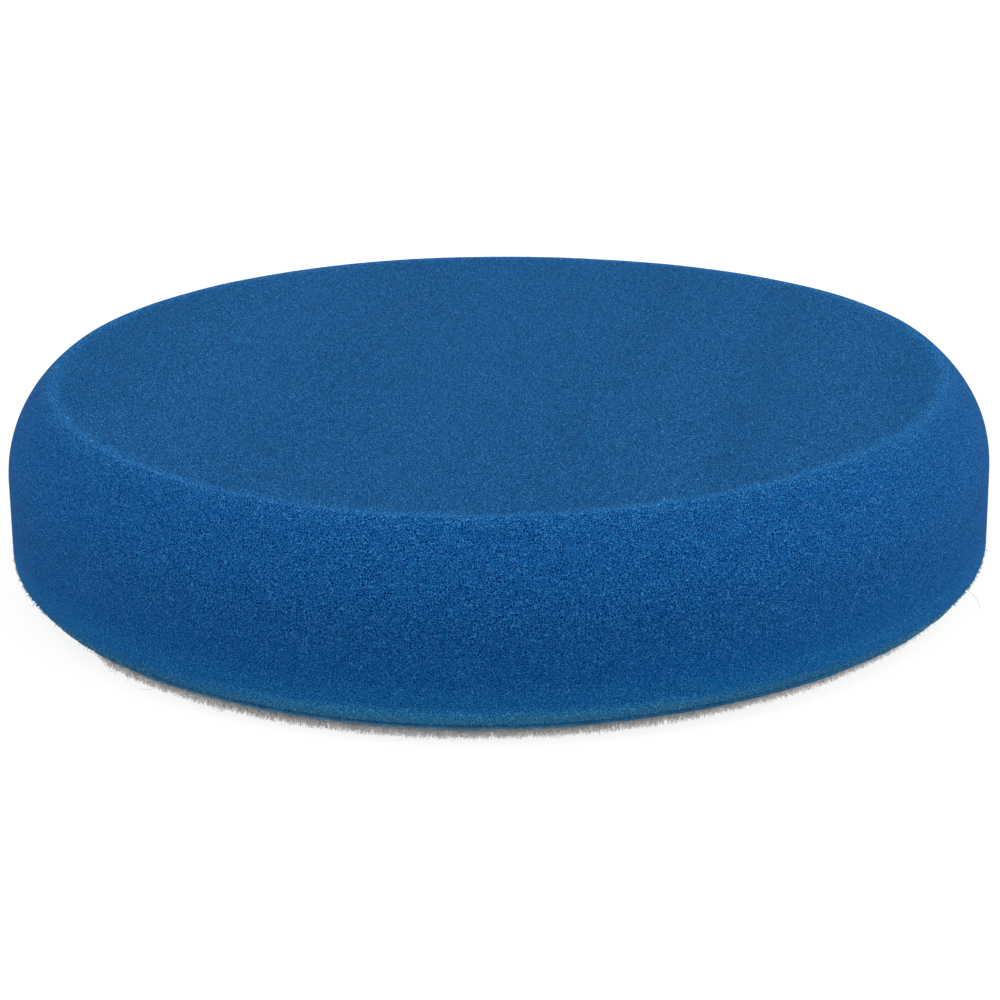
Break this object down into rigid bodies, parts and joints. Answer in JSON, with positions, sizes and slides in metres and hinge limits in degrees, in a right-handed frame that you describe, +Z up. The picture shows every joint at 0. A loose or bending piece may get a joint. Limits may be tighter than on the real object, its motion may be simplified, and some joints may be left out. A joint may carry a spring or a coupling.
{
  "type": "polishing pad",
  "caption": "Round foam polishing pad with a flat working face, a creased and rounded shoulder and a bonded loop-velour backing that a hook-faced plate grips.",
  "frame": {"origin": "centre of the velour's face, at the tips of the loops, where a backing plate presses", "axes": "+Z up through the pad to the working face, along the pad's axis of rotation; the pad is round, so +X and +Y are free"},
  "size_m": [0.15, 0.15, 0.03],
  "materials": {
    "foam": "matte",
    "bond": "matte",
    "velour_cloth": "matte",
    "velour_yarn": "matte"
  },
  "bodies": {
    "root": {"foam_disc": "foam", "bond_layer": "bond", "velour_ground": "velour_cloth", "velour_loops": "velour_yarn"}
  },
  "joints": []
}
